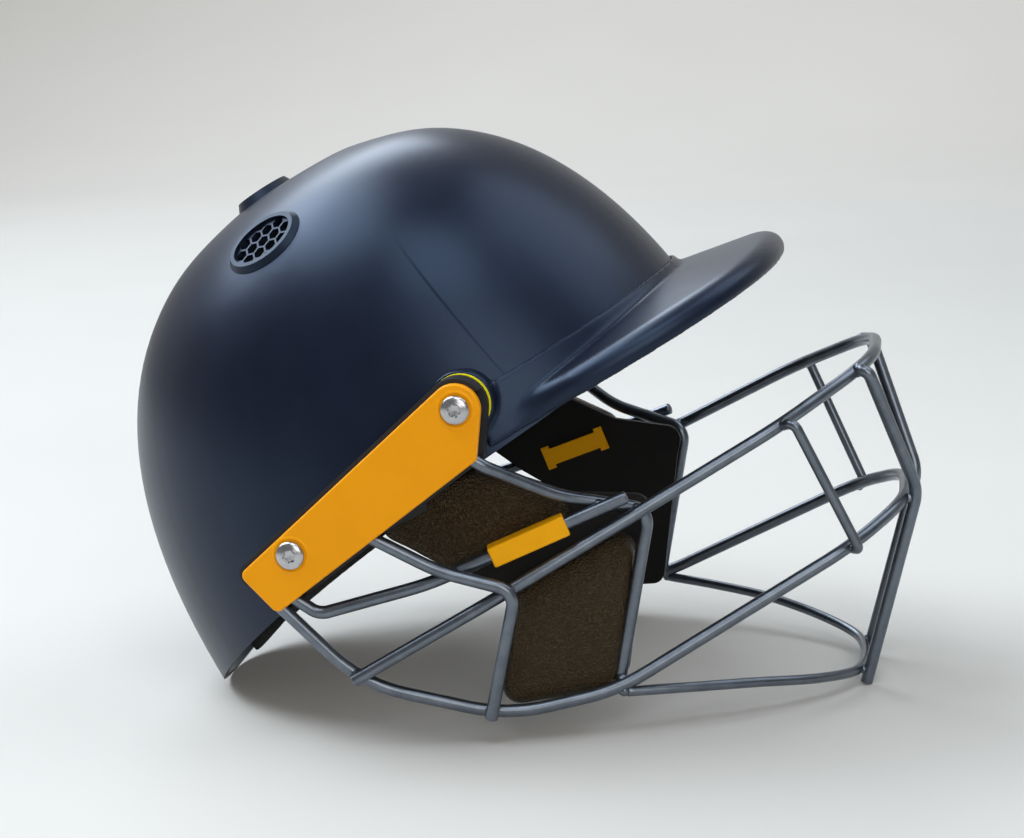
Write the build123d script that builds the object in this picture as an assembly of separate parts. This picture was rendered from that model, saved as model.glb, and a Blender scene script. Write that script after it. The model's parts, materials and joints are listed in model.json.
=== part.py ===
from build123d import *
import os
from math import atan2, cos, degrees, hypot, pi, radians, sin, sqrt, tan

# A cricket helmet: a moulded shell with a peak, a foam liner with comfort pads,
# and a welded wire face grille held by a side plate and two screws on each side.
#
# Everything is drawn as the helmet is worn: +X is forward, +Y is the wearer's
# left, +Z is up, and the origin is the centre of the shell's widest level.
# Side pieces are drawn on the left and mirrored. At the end the helmet is laid
# down as it rests on a table, tipped back on its nape rim and on the feet of
# the grille. All lengths are in millimetres.

# Shell
shell_front_reach = 119.0
shell_rear_reach = 138.5
shell_half_width = 104.0
shell_height = 175.0
shell_wall = 3.0
shell_drop = 16.0
crown_power = 2.5
crown_steps = 9
fit_gap = 0.3
overrun = 20.0
lean_turns = 5

# Rim of the shell seen from the side, from nape to brow
nape_rim_height = 6.5
rear_rim_reach, rear_rim_height = 106.0, 21.3
ear_rim_reach, ear_rim_height = 78.0, 28.8
temple_rim_reach, temple_rim_height = 35.0, 44.6
brow_rim_height = 48.5

# Peak and its skirt, which laps over the shell
peak_centre_reach = 45.0
peak_reach = 112.0
peak_half_width = 95.5
peak_power = 2.5
peak_steps = 6
peak_wall = 3.0
peak_underside = 46.5
peak_lip = 10.5
peak_level_shares = [(0.0, 0.18), (0.2, 0.03), (0.42, 0.0), (0.64, 0.05), (0.84, 0.2), (1.0, 0.45)]
peak_slope = 0.21
peak_top_inset = 60.0
peak_root_reach = 43.0
peak_root_lean = 44.0
skirt_wall = 2.0
skirt_top = 68.0
skirt_rear_reach = 30.0

# Side plate, its two screws and what is stacked under it
front_screw_reach, front_screw_height = 35.0, 67.0
rear_screw_reach, rear_screw_height = -49.0, 50.5
plate_head_radius = 9.7
plate_corner_radius = 3.0
plate_rear_overhang = 22.0
plate_rear_rise = 3.0
plate_rear_setback = 17.0
plate_rear_depth = 17.0
plate_front_setback = 3.2
plate_front_depth = 20.2
plate_head_run = 22.6
plate_head_rise = 15.1
plate_thickness = 2.8
plate_round = 0.9
plate_boss_radius = 5.2
spacer_stand = 0.5
spacer_margin = 1.6
spacer_lip = 1.6
strap_thickness = 2.0
strap_inset = 3.4
strap_exit = 7.0
boss_radius = 12.6
boss_setback = 4.3
gasket_radius = 11.4
gasket_thickness = 1.3
spacer_floor = shell_half_width + spacer_stand
boss_face = spacer_floor - boss_setback

# Screws and the flanged nuts inside the shell
screw_radius = 2.5
screw_clearance = 0.25
screw_head_radius = 5.5
screw_head_height = 2.9
screw_head_round = 1.3
screw_recess_radius = 2.0
screw_recess_depth = 1.5
screw_past = 2.2
thread_clearance = 0.05
nut_radius = 3.6
nut_flange_radius = 7.0
nut_flange_thickness = 1.5
nut_setback = 5.85
nut_depth = 4.5
nut_pocket_radius = 8.8

# Face grille: heavy wires carry it and light wires brace it
grille_reach = 168.8
grille_drop = 119.0
heavy_wire = 5.0
light_wire = 4.0
weld_bite = 0.35
wire_gap = 0.25
wire_plane = spacer_floor + wire_gap + heavy_wire / 2
strap_share = wire_plane / shell_half_width

# Corners of each wire on the left, end to end, as shares of the grille's reach,
# the shell's half width and the grille's drop, and the radius of each bend.
# A wire that crosses the front is finished with its own mirror image.
top_bar_shares = [
    (-0.326, 1.044, -0.029),
    (0.071, 0.967, -0.029),
    (0.758, 0.637, -0.029),
    (1.000, 0.288, -0.029),
]
top_bar_bends = [250.0, 60.0, 45.0]
jaw_bar_shares = [
    (-0.391, strap_share, 0.319),
    (-0.323, 0.997, -0.059),
    (-0.083, 0.918, -0.387),
    (0.154, 0.830, -0.500),
    (0.758, 0.527, -0.500),
    (0.895, 0.250, -0.500),
]
jaw_bar_bends = [60.0, 70.0, 80.0, 45.0, 45.0]
chin_bar_shares = [
    (0.160, 0.827, -0.528),
    (0.355, 0.683, -0.697),
    (0.551, 0.365, -0.902),
    (0.595, 0.192, -0.947),
]
chin_bar_bends = [60.0, 25.0, 14.0]
centre_upright_shares = [
    (0.959, 0.359, -0.032),
    (0.980, 0.385, -0.034),
    (0.925, 0.182, -0.505),
    (0.590, 0.199, -1.000),
]
centre_upright_bends = [3.2, 15.0]
side_upright_shares = [
    (0.769, 0.633, -0.033),
    (0.796, 0.667, -0.039),
    (0.770, 0.565, -0.515),
    (0.755, 0.522, -0.513),
]
side_upright_bends = [3.0, 2.6]
ear_bar_shares = [
    (-0.118, strap_share, 0.340),
    (-0.027, 1.014, 0.138),
    (0.098, 1.000, -0.035),
    (-0.110, 0.969, -0.361),
]
ear_bar_bends = [70.0, 7.0]
cheek_bar_shares = [
    (0.166, strap_share, 0.420),
    (0.187, 1.025, 0.361),
    (0.273, 0.875, 0.151),
    (0.421, 0.746, -0.046),
    (0.166, 0.780, -0.479),
]
cheek_bar_bends = [12.0, 50.0, 7.0]
strut_bar_shares = [
    (-0.350, strap_share, 0.303),
    (-0.317, 1.028, 0.210),
    (-0.071, 0.987, 0.119),
    (0.400, 0.840, 0.037),
]
strut_bar_bends = [8.0, 100.0]

# Vents
vent_half_length = 15.0
vent_half_width = 10.6
vent_wall = 1.5
vent_flange = 2.2
vent_lip = 0.3
vent_slope = 0.8
vent_neck = 4.5
vent_bore = 14.0
mesh_cell = 5.4
mesh_web = 0.8
mesh_thickness = 1.5
side_vent_reach, side_vent_offset, side_vent_stand = -10.8, 57.1, 1.4
top_vent_reach, top_vent_stand = -17.0, 2.7

# Liner and comfort pads
liner_thickness = 14.0
liner_rim_inset = 4.0
pad_thickness = 7.0
crown_pad_radius = 34.0
brow_pad_height = 30.0
brow_pad_half_width = 58.0
temple_pad_front, temple_pad_rear = -26.0, -80.0
temple_pad_high = 84.0
nape_pad_half_width = 52.0
nape_pad_high = 66.0
pad_drop = 4.0
pad_corner = 9.0

# Cheek guards: foam lobes on a board behind each side of the grille. Their
# corners in the side view are shares of the grille's reach and drop.
guard_reach, guard_height = 19.0, -9.0
guard_aside_share = 0.864
guard_inward_share = 0.24
guard_flare_share = 0.105
ear_pad_shares = [(-0.104, 0.350), (0.134, 0.358), (0.273, 0.111), (0.246, 0.050), (-0.024, 0.126)]
cheek_pad_shares = [(0.073, -0.067), (0.364, -0.076), (0.145, -0.483), (-0.080, -0.349)]
board_shares = [
    (-0.113, 0.345),
    (0.142, 0.361),
    (0.278, 0.122),
    (0.432, -0.025),
    (0.382, -0.101),
    (0.169, -0.504),
    (-0.083, -0.361),
    (0.059, -0.067),
    (-0.024, 0.109),
]
lobe_thickness = 11.0
lobe_edge = 3.6
lobe_corner = 5.0
board_thickness = 3.0
board_corner = 6.0

# Clip that hangs the cheek guard on the strut wire
clip_reach = 28.6
clip_length = 31.0
clip_wall = 1.4
clip_clearance = 0.1
clip_plate_width = 7.4
clip_plate_thickness = 1.8
clip_tab_length = 3.4
clip_tab_width = 10.4
clip_stem_length = 20.0
clip_stem_width = 4.4
clip_slot_gap = 0.4
clip_round = 0.8

# Chin strap anchors, which swing on a rivet inside each side of the shell
anchor_reach, anchor_height = -10.0, 60.0
anchor_eye_radius = 6.0
anchor_half_width = 12.5
anchor_depth = 16.5
anchor_thickness = 1.6
anchor_stand = 1.9
anchor_slot_length = 20.6
anchor_slot_width = 4.6
anchor_slot_depth = 11.4
anchor_corner = 2.0
anchor_swing = 18.0
anchor_clearance = 0.3
rivet_radius = 2.2
rivet_head_radius = 4.4
rivet_head_height = 1.2
rivet_shoulder_radius = 3.8


def dome(inset):
    """The crown form brought in from the outer face by an even inset."""
    height = shell_height - inset
    turns = [pi / 2 * step / crown_steps for step in range(crown_steps + 1)]
    power = 2 / crown_power
    points = [(height * cos(turn) ** power, height * sin(turn) ** power) for turn in turns[:-1]]
    points.append((0, height))
    arch = Spline(*points, tangents=[(0, 1), (-1, 0)])
    closing = Polyline((0, height), (0, -shell_drop), (height, -shell_drop), (height, 0))
    half = revolve(Plane.XZ * make_face(arch + closing), Axis.Z, 180)
    breadth = (shell_half_width - inset) / height
    front = scale(Rot(0, 0, -90) * half, by=((shell_front_reach - inset) / height, breadth, 1))
    rear = scale(Rot(0, 0, 90) * half, by=((shell_rear_reach - inset) / height, breadth, 1))
    return front + rear


def crown_point(reach, side):
    """Height of the outer face over a point of the plan, and its outward normal."""
    length = shell_front_reach if reach > 0 else shell_rear_reach
    plan = hypot(reach / length, side / shell_half_width)
    height = shell_height * (1 - plan**crown_power) ** (1 / crown_power)
    pull = plan ** (crown_power - 2)
    rise = (height / shell_height) ** (crown_power - 1) / shell_height
    normal = Vector(pull * reach / length**2, pull * side / shell_half_width**2, rise)
    return Vector(reach, side, height), normal.normalized()


def side_point(reach, height):
    """Point on the left of the outer face at a reach and a height, and its outward normal."""
    length = shell_front_reach if reach > 0 else shell_rear_reach
    plan = (1 - (height / shell_height) ** crown_power) ** (1 / crown_power)
    side = shell_half_width * sqrt(plan**2 - (reach / length) ** 2)
    return crown_point(reach, side)


def across(face, near, far):
    """Side-view face made solid between two distances from the middle plane."""
    return extrude(Plane.XZ.offset(-near) * face, near - far)


def rod(reach, height, radius, near, far):
    """Round bar straight across the helmet."""
    return across(Pos(reach, height) * Circle(radius), near, far)


def both_sides(shape):
    """A left-hand shape together with its mirror image."""
    return shape + mirror(shape, about=Plane.XZ)


def below_rim(raised):
    """Everything under the rim line, with the line raised by an amount."""
    nape_slope = (rear_rim_height - nape_rim_height) / (shell_rear_reach - rear_rim_reach)
    brow_run = shell_front_reach - temple_rim_reach
    brow_slope = (brow_rim_height - temple_rim_height) / brow_run
    rear_end = -shell_rear_reach - overrun
    front_end = shell_front_reach + overrun
    low = -shell_drop - overrun
    points = [
        (rear_end, nape_rim_height - nape_slope * overrun + raised),
        (-rear_rim_reach, rear_rim_height + raised),
        (-ear_rim_reach, ear_rim_height + raised),
        (temple_rim_reach, temple_rim_height + raised),
        (front_end, brow_rim_height + brow_slope * overrun + raised),
    ]
    closing = Polyline(points[-1], (front_end, low), (rear_end, low), points[0])
    face = make_face(Spline(*points) + closing)
    reach = shell_half_width + overrun
    return across(face, -reach, reach)


def screw_spots():
    return [(front_screw_reach, front_screw_height), (rear_screw_reach, rear_screw_height)]


def nut_face():
    """Seat of the flanged nuts, a little inside the outer face at the nearer screw."""
    return min(side_point(reach, height)[0].Y for reach, height in screw_spots()) - nut_setback


def vent_planes():
    """Where the three vents sit: left, right and top of the crown."""
    planes = []
    for reach, side in [
        (side_vent_reach, side_vent_offset),
        (side_vent_reach, -side_vent_offset),
        (top_vent_reach, 0),
    ]:
        spot, normal = crown_point(reach, side)
        lengthwise = Vector(1, 0, 0) if side else Vector(0, 1, 0)
        along = lengthwise - normal * normal.dot(lengthwise)
        planes.append(Plane(origin=spot, x_dir=along, z_dir=normal))
    return planes


def anchor_plane(depth):
    """Plane of a chin strap anchor on the left, a depth inside the shell's outer face."""
    spot, normal = side_point(anchor_reach, anchor_height)
    along = Vector(1, 0, 0) - normal * normal.X
    return Plane(origin=spot - normal * depth, x_dir=along, z_dir=-normal)


def make_shell():
    shell = dome(0) - dome(shell_wall)
    bosses = [
        rod(reach, height, nut_flange_radius + shell_wall / 3, nut_face(), shell_half_width)
        for reach, height in screw_spots()
    ]
    shell += both_sides(Part() + bosses) & dome(shell_wall / 2)
    shell -= below_rim(0)
    for reach, height in screw_spots():
        hole = rod(reach, height, nut_radius + screw_clearance, nut_face() - overrun, shell_half_width)
        shell -= both_sides(hole)
    rivet_hole = anchor_plane(0) * Cylinder(rivet_radius + thread_clearance, overrun)
    shell -= both_sides(rivet_hole)
    for plane in vent_planes():
        shell -= extrude(plane * Ellipse(vent_half_length, vent_half_width), vent_bore, both=True)
    return shell


def make_vent(plane, stand):
    """Oval bezel with sloping sides that sits on the shell, with a neck and a honeycomb screen."""
    neck_outer = Ellipse(vent_half_length - fit_gap, vent_half_width - fit_gap)
    opening = Ellipse(vent_half_length - vent_wall, vent_half_width - vent_wall)
    rim = Ellipse(vent_half_length + vent_flange, vent_half_width + vent_flange)
    lip = Ellipse(vent_half_length + vent_lip, vent_half_width + vent_lip)
    foot = plane.offset(-vent_slope)
    bezel = loft([foot * rim, plane.offset(stand) * lip]) + extrude(foot * rim, -vent_neck)
    bezel -= dome(-thread_clearance)
    body = bezel + extrude(plane.offset(-vent_neck) * neck_outer, vent_neck)
    body -= extrude(plane * opening, vent_bore, both=True)
    return body + make_mesh(plane)


def make_mesh(plane):
    """Honeycomb screen across the vent."""
    tuck = vent_wall / 2
    screen = Ellipse(vent_half_length - tuck, vent_half_width - tuck)
    pad = extrude(plane.offset(-mesh_thickness) * screen, mesh_thickness)
    cell = RegularPolygon((mesh_cell - mesh_web) / 2, 6, major_radius=False)
    rows = int(vent_half_width / mesh_cell) + 1
    columns = int(vent_half_length / mesh_cell) + 1
    spots = []
    for row in range(-rows, rows + 1):
        for column in range(-columns, columns + 1):
            along = mesh_cell * (column + (row % 2) / 2)
            aside = mesh_cell * row * sqrt(3) / 2
            if hypot(along / (vent_half_length - mesh_web), aside / (vent_half_width - mesh_web)) < 1:
                spots.append(Pos(along, aside) * Rot(0, 0, 30) * cell)
    return pad - extrude(plane * (Sketch() + spots), mesh_cell, both=True)


def peak_level(inset, height):
    """One level of the peak's plan: a squared-off half oval, straight across behind."""
    reach, half = peak_reach - inset, peak_half_width - inset
    power = 2 / peak_power
    points = []
    for step in range(-peak_steps, peak_steps + 1):
        turn = pi / 2 * step / peak_steps
        side = half * abs(sin(turn)) ** power * (1 if step > 0 else -1)
        run = reach * abs(cos(turn)) ** power if abs(step) < peak_steps else 0
        points.append((peak_centre_reach + run, side, height))
    back = peak_centre_reach - peak_half_width
    rim = Spline(*points, tangents=[(1, 0, 0), (-1, 0, 0)])
    closing = Polyline(points[-1], (back, half, height), (back, -half, height), points[0])
    return make_face(rim + closing)


def peak_form(inset, lowered):
    """Solid form of the peak from underside to inside the crown."""
    levels = [
        peak_level(share * peak_lip + inset, peak_underside + rise * peak_lip - lowered)
        for rise, share in peak_level_shares
    ]
    lip_inset = peak_level_shares[-1][1] * peak_lip
    rise = peak_lip + peak_slope * (peak_top_inset - lip_inset)
    crown = peak_level(peak_top_inset + inset, peak_underside + rise - lowered)
    return loft(levels) + loft([levels[-1], crown], ruled=True)


def make_peak():
    """Hollow brim, a skirt that laps over the shell and a screw boss at each end."""
    brim = peak_form(0, 0) - peak_form(peak_wall, peak_wall)
    root = Rot(0, -peak_root_lean, 0) * Box(
        4 * shell_height, 4 * shell_height, 4 * shell_height, align=(Align.MAX, Align.CENTER, Align.CENTER)
    )
    brim -= Pos(peak_root_reach, 0, peak_underside) * root
    tall = skirt_top - peak_underside
    band = Pos(front_screw_reach, peak_underside) * Rectangle(
        peak_reach + peak_centre_reach, tall, align=(Align.MIN, Align.MIN)
    )
    head = Pos(front_screw_reach, front_screw_height) * Circle(boss_radius)
    reach = shell_half_width + overrun
    skirt = across(band + head, -reach, reach) & dome(-skirt_wall)
    boss = both_sides(across(head, boss_face / 2, boss_face))
    peak = brim + skirt + boss - dome(-fit_gap / 2)
    hole = rod(front_screw_reach, front_screw_height, screw_radius + screw_clearance, -reach, reach)
    seat = rod(front_screw_reach, front_screw_height, gasket_radius + fit_gap, boss_face, reach)
    return peak - hole - both_sides(seat)


def plate_outline():
    """Side view of the cover plate: a long tail and a round head about the front screw."""
    corners = [
        (rear_screw_reach - plate_rear_overhang, rear_screw_height + plate_rear_rise),
        (rear_screw_reach - plate_rear_setback, rear_screw_height - plate_rear_depth),
        (front_screw_reach - plate_front_setback, front_screw_height - plate_front_depth),
        (front_screw_reach + plate_head_run, front_screw_height + plate_head_rise),
    ]
    face = make_face(Polyline(*corners, close=True))
    ordered = face.vertices().sort_by(Axis.X)
    face = fillet(ordered[-1], plate_head_radius)
    return fillet(face.vertices().sort_by(Axis.X)[:2], plate_corner_radius)


def plate_face():
    """Inner face of the cover plate."""
    return wire_plane + heavy_wire / 2 + wire_gap / 2


def screw_holes(radius, near, far):
    return Part() + [rod(reach, height, radius, near, far) for reach, height in screw_spots()]


def make_side_plate():
    inner, outer = plate_face(), plate_face() + plate_thickness
    plate = across(plate_outline(), inner, outer)
    plate = fillet(plate.faces().sort_by(Axis.Y)[-1].edges(), plate_round)
    plate += screw_holes(plate_boss_radius, spacer_floor + strap_thickness, inner)
    return plate - screw_holes(screw_radius + screw_clearance, spacer_floor, outer + overrun)


def make_spacer():
    """Block that fills the space between the curved shell and the flat side plate."""
    outline = plate_outline()
    body = across(offset(outline, spacer_margin), shell_half_width / 2, plate_face())
    inner = offset(outline, spacer_margin - spacer_lip)
    pocket = inner + [Pos(shift * strap_exit, -strap_exit) * inner for shift in (-1, 0, 1)]
    body -= across(pocket, spacer_floor, plate_face() + overrun)
    body -= dome(-fit_gap)
    body -= rod(front_screw_reach, front_screw_height, boss_radius + fit_gap, 0, boss_face + gasket_thickness)
    skirt_room = across(
        Pos(skirt_rear_reach, peak_underside - fit_gap)
        * Rectangle(peak_reach, skirt_top - peak_underside + 2 * fit_gap, align=(Align.MIN, Align.MIN)),
        0,
        shell_half_width + overrun,
    )
    body -= skirt_room & dome(-skirt_wall - fit_gap)
    head_room = rivet_head_height + anchor_clearance
    body -= anchor_plane(0) * Cylinder(rivet_head_radius + anchor_clearance, 2 * head_room)
    return body - screw_holes(screw_radius + screw_clearance, 0, plate_face())


def make_gasket():
    disc = rod(front_screw_reach, front_screw_height, gasket_radius, boss_face, boss_face + gasket_thickness)
    return disc - screw_holes(screw_radius + screw_clearance, boss_face, boss_face + gasket_thickness)


def strap_outline():
    return offset(plate_outline(), -strap_inset)


def make_grille_strap():
    """Flat steel strap that the wires of one side are welded to."""
    strap = across(strap_outline(), spacer_floor, spacer_floor + strap_thickness)
    return strap - screw_holes(screw_radius + screw_clearance, spacer_floor, spacer_floor + strap_thickness)


def make_screws():
    """Pan head screws, one at each end of each side plate."""
    outer = plate_face() + plate_thickness
    screws = []
    for reach, height in screw_spots():
        head = rod(reach, height, screw_head_radius, outer, outer + screw_head_height)
        head = fillet(head.faces().sort_by(Axis.Y)[-1].edges(), screw_head_round)
        shank = rod(reach, height, screw_radius, nut_face() - nut_flange_thickness - screw_past, outer)
        socket = Pos(reach, height) * (Rot(0, 0, 30) * RegularPolygon(screw_recess_radius, 6))
        top = outer + screw_head_height
        screws.append(head + shank - across(socket, top - screw_recess_depth, top))
    return both_sides(Part() + screws)


def make_nuts():
    """Flanged nuts against the inside of the shell."""
    nuts = []
    seat = nut_face()
    for reach, height in screw_spots():
        flange = rod(reach, height, nut_flange_radius, seat - nut_flange_thickness, seat)
        barrel = rod(reach, height, nut_radius, seat - nut_flange_thickness, seat + nut_depth)
        bore = rod(reach, height, screw_radius + thread_clearance, 0, shell_half_width)
        nuts.append(flange + barrel - bore)
    return both_sides(Part() + nuts)


def bent_wire(corners, bends, diameter):
    """Round wire along a line of corners, with a bend at each inner corner."""
    start = Vector(*corners[0])
    heading = Vector(*corners[1]) - start
    path = []
    for before, corner, after, bend in zip(corners, corners[1:], corners[2:], bends):
        turn = Vector(*corner)
        back = (Vector(*before) - turn).normalized()
        ahead = (Vector(*after) - turn).normalized()
        half = radians(back.get_angle(ahead)) / 2
        enter = turn + back * (bend / tan(half))
        leave = turn + ahead * (bend / tan(half))
        middle = turn + (back + ahead).normalized() * (bend / sin(half) - bend)
        path += [Line(start, enter), ThreePointArc(enter, middle, leave)]
        start = leave
    path.append(Line(start, Vector(*corners[-1])))
    section = Plane(origin=Vector(*corners[0]), z_dir=heading) * Circle(diameter / 2)
    return sweep(section, path=Wire([piece.edge() for piece in path]))


def grille_corners(shares):
    """Corners of a wire on the left, from their shares of the grille's sizes."""
    return [
        (grille_reach * along, shell_half_width * aside, grille_drop * rise)
        for along, aside, rise in shares
    ]


def crossing_wire(shares, bends, diameter):
    """Wire that runs across the front from one side to the other."""
    corners = grille_corners(shares)
    mirrored = [(reach, -side, height) for reach, side, height in reversed(corners)]
    return bent_wire(corners + mirrored, bends + bends[::-1], diameter)


def side_wire(shares, bends, diameter):
    return bent_wire(grille_corners(shares), bends, diameter)


def on_strap(wire):
    """Flatten the back of a wire where it is welded to the strap."""
    return wire - across(strap_outline(), 0, spacer_floor + strap_thickness - weld_bite)


def make_top_bar():
    return crossing_wire(top_bar_shares, top_bar_bends, heavy_wire)


def make_jaw_bar():
    bar = crossing_wire(jaw_bar_shares, jaw_bar_bends, heavy_wire)
    lap = across(strap_outline(), 0, spacer_floor + strap_thickness - weld_bite)
    return bar - both_sides(lap)


def make_chin_bar():
    return crossing_wire(chin_bar_shares, chin_bar_bends, light_wire)


def make_centre_upright():
    return side_wire(centre_upright_shares, centre_upright_bends, heavy_wire)


def make_side_upright():
    return side_wire(side_upright_shares, side_upright_bends, light_wire)


def make_ear_bar():
    return on_strap(side_wire(ear_bar_shares, ear_bar_bends, heavy_wire))


def make_cheek_bar():
    return on_strap(side_wire(cheek_bar_shares, cheek_bar_bends, heavy_wire))


def make_strut_bar():
    return on_strap(side_wire(strut_bar_shares, strut_bar_bends, heavy_wire))


def guard_plane(depth):
    """Plane of the cheek guard's outer face, moved inward by a depth."""
    outward = Vector(guard_inward_share, 1, -guard_flare_share).normalized()
    aside = guard_aside_share * shell_half_width
    spot = Vector(guard_reach, aside, guard_height) - outward * depth
    return Plane(origin=spot, x_dir=Vector(1, -guard_inward_share, 0), z_dir=outward)


def guard_layer(shares, corner_radius, near, far):
    """Side-view outline cut from a layer between two depths of the cheek guard."""
    corners = [(grille_reach * along, grille_drop * rise) for along, rise in shares]
    face = make_face(Polyline(*corners, close=True))
    face = fillet(face.vertices(), corner_radius)
    slab = guard_plane(far) * Box(
        2 * shell_height, 2 * shell_height, far - near, align=(Align.CENTER, Align.CENTER, Align.MIN)
    )
    return across(face, 0, shell_half_width + overrun) & slab


def make_lobe(shares):
    """Foam lobe with a rounded outer edge."""
    lobe = guard_layer(shares, lobe_corner, 0, lobe_thickness)
    plane = guard_plane(0)
    outer = lobe.faces().sort_by(Axis(plane.origin, plane.z_dir))[-1]
    return fillet(outer.edges(), lobe_edge)


def make_ear_pad():
    anchor_face = shell_wall + anchor_stand + anchor_thickness
    return (make_lobe(ear_pad_shares) & dome(anchor_face + 2 * fit_gap)) - clip_room()


def make_cheek_pad():
    return make_lobe(cheek_pad_shares)


def make_board():
    far = lobe_thickness + board_thickness
    board = guard_layer(board_shares, board_corner, lobe_thickness, far)
    board &= dome(shell_wall + 2 * fit_gap) + Pos(0, 0, -shell_drop) * Box(
        4 * shell_height, 4 * shell_height, 2 * shell_height, align=(Align.CENTER, Align.CENTER, Align.MAX)
    )
    return board - clip_room()


def clip_plane():
    """Plane on the strut at the middle of the clip, with its x along the strut."""
    start, end = [Vector(*corner) for corner in grille_corners(strut_bar_shares)[-2:]]
    share = (clip_reach - start.X) / (end.X - start.X)
    along = (end - start).normalized()
    facing = guard_plane(0).z_dir
    return Plane(origin=start + (end - start) * share, x_dir=along, z_dir=facing - along * facing.dot(along))


def clip_seat():
    """Plane under the middle of the clip, square to the board, and the clip's height over its back."""
    sleeve, board = clip_plane(), guard_plane(lobe_thickness + board_thickness)
    height = (sleeve.origin - board.origin).dot(board.z_dir)
    along = sleeve.x_dir - board.z_dir * sleeve.x_dir.dot(board.z_dir)
    return Plane(origin=sleeve.origin - board.z_dir * height, x_dir=along, z_dir=board.z_dir), height


def clip_room():
    """Slot that the stem of the clip passes through."""
    seat, height = clip_seat()
    return seat * Box(clip_stem_length + 2 * clip_slot_gap, clip_stem_width + 2 * clip_slot_gap, 2 * height)


def make_clip():
    """Clip with a sleeve round the strut, a stem through the board and a tabbed plate."""
    outer = heavy_wire / 2 + clip_clearance + clip_wall
    sleeve = Box(clip_length, 2 * outer, 2 * outer)
    sleeve = clip_plane() * fillet(sleeve.edges(), clip_round)
    seat, height = clip_seat()
    stem = Box(clip_stem_length, clip_stem_width, height, align=(Align.CENTER, Align.CENTER, Align.MIN))
    foot = Rectangle(clip_length, clip_plate_width) + [
        Pos(end * (clip_length - clip_tab_length) / 2, 0) * Rectangle(clip_tab_length, clip_tab_width)
        for end in (-1, 1)
    ]
    plate = extrude(foot, -clip_plate_thickness)
    stem = Pos(0, 0, -clip_slot_gap) * (stem + plate)
    bore = clip_plane() * (Rot(0, 90, 0) * Cylinder(heavy_wire / 2 + clip_clearance, 2 * clip_length))
    return sleeve + seat * stem - bore


def make_liner():
    """Hard foam liner with pockets for the nuts, the vents and the strap anchors."""
    outer = shell_wall + fit_gap
    liner = dome(outer) - dome(outer + liner_thickness) - below_rim(liner_rim_inset)
    pocket_floor = nut_face() - nut_flange_thickness - fit_gap
    for reach, height in screw_spots():
        pocket = rod(reach, height, nut_pocket_radius, pocket_floor, shell_half_width)
        bore = rod(reach, height, nut_radius + screw_clearance, pocket_floor - overrun, shell_half_width)
        liner -= both_sides(pocket + bore)
    for plane in vent_planes():
        opening = Ellipse(vent_half_length + fit_gap, vent_half_width + fit_gap)
        liner -= extrude(plane * opening, 2 * vent_bore, both=True)
    return liner - both_sides(anchor_pocket())


def anchor_pocket():
    """Room for a strap anchor to swing, open downward."""
    depth = anchor_stand + anchor_thickness + 2 * anchor_clearance + rivet_head_height
    span = 2 * (anchor_depth + anchor_half_width * sin(radians(anchor_swing)))
    room = Circle(span / 2) + Pos(0, -span / 2) * Rectangle(span, span)
    return extrude(anchor_plane(shell_wall) * room, depth)


def pad_layer():
    """Layer of comfort padding under the whole liner."""
    inner = shell_wall + fit_gap + liner_thickness + fit_gap
    return dome(inner) - dome(inner + pad_thickness)


def make_brow_pad():
    """Padding behind the brow rim."""
    low = brow_rim_height + liner_rim_inset
    window = Pos(0, low + brow_pad_height / 2) * Rectangle(2 * brow_pad_half_width, brow_pad_height)
    window = fillet(window.vertices(), pad_corner)
    return pad_layer() & extrude(Plane.YZ * window, shell_front_reach)


def make_crown_pad():
    return pad_layer() & extrude(Circle(crown_pad_radius), shell_height)


def make_nape_pad():
    """Padding inside the rear, with its lower edge just below the rim."""
    window = Rectangle(2 * nape_pad_half_width, 2 * nape_pad_high)
    window = fillet(window.vertices(), pad_corner)
    return pad_layer() & extrude(Plane.YZ * window, -shell_rear_reach) - below_rim(-pad_drop)


def make_temple_pad():
    window = Pos((temple_pad_front + temple_pad_rear) / 2, 0) * Rectangle(
        temple_pad_front - temple_pad_rear, 2 * temple_pad_high
    )
    window = fillet(window.vertices(), pad_corner)
    return pad_layer() & across(window, 0, shell_half_width) - below_rim(-pad_drop)


def make_anchor():
    """Teardrop strap anchor with an eye for its rivet and a slot for webbing."""
    eye = Circle(anchor_eye_radius)
    foot = Pos(0, -anchor_depth / 2 - anchor_slot_depth / 2) * Rectangle(
        2 * anchor_half_width, anchor_depth - anchor_slot_depth + 2 * anchor_slot_width
    )
    foot = fillet(foot.vertices(), anchor_corner)
    blank = make_hull((eye + foot).edges())
    slot = Pos(0, -anchor_slot_depth) * SlotOverall(anchor_slot_length, anchor_slot_width)
    hole = Circle(rivet_shoulder_radius + thread_clearance)
    return extrude(anchor_plane(shell_wall + anchor_stand) * (blank - slot - hole), anchor_thickness)


def make_rivets():
    """Shouldered rivets that the strap anchors swing on."""
    outer, inner = anchor_plane(0), anchor_plane(shell_wall)
    shoulder = anchor_stand + anchor_thickness + anchor_clearance
    body = extrude(outer * Circle(rivet_radius), shell_wall + shoulder)
    head = extrude(outer * Circle(rivet_head_radius), -rivet_head_height)
    step = extrude(inner.offset(fit_gap) * Circle(rivet_shoulder_radius), shoulder - fit_gap)
    cap = extrude(inner.offset(shoulder) * Circle(rivet_shoulder_radius + rivet_head_height), rivet_head_height)
    return both_sides(body + head + step + cap)


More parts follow.
